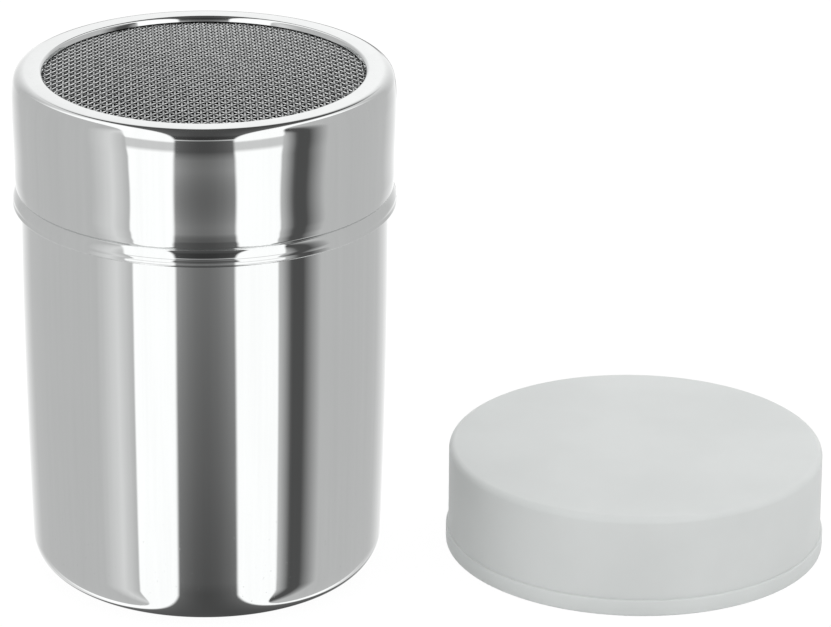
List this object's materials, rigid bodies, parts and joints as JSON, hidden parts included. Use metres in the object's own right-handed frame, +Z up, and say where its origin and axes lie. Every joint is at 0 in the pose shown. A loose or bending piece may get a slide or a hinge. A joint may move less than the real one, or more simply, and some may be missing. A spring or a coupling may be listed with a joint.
{
  "type": "spice shaker",
  "caption": "Round steel shaker can with a lift-off lid closed by a domed woven wire screen, and a loose translucent storage cap standing beside it.",
  "frame": {"origin": "centre of the can's flat contact face on the table", "axes": "+Z up along the can's axis, +X towards the loose cap that stands beside the can, -Y towards the viewer of the picture"},
  "size_m": [0.1497, 0.0804, 0.0967],
  "materials": {
    "can_steel": "polished stainless steel with faint drawing lines",
    "lid_steel": "polished stainless steel",
    "ring_steel": "plain rolled stainless steel, inside the lid",
    "screen_wire": "bright drawn wire",
    "cap_plastic": "milky translucent moulded plastic, satin"
  },
  "bodies": {
    "can": {"can_body": "can_steel"},
    "lid": {"lid_shell": "lid_steel", "screen_retaining_ring": "ring_steel", "screen_warp_wires": "screen_wire", "screen_weft_wires": "screen_wire"},
    "cap": {"storage_cap": "cap_plastic"}
  },
  "joints": [
    {"name": "lid_lift", "type": "slide", "parent": "can", "child": "lid", "axis": [0, 0, 1], "range_m": [0, 0.032]},
    {"name": "cap_lift", "type": "slide", "parent": "can", "child": "cap", "axis": [0, 0, 1], "range_m": [0, 0.1]}
  ]
}
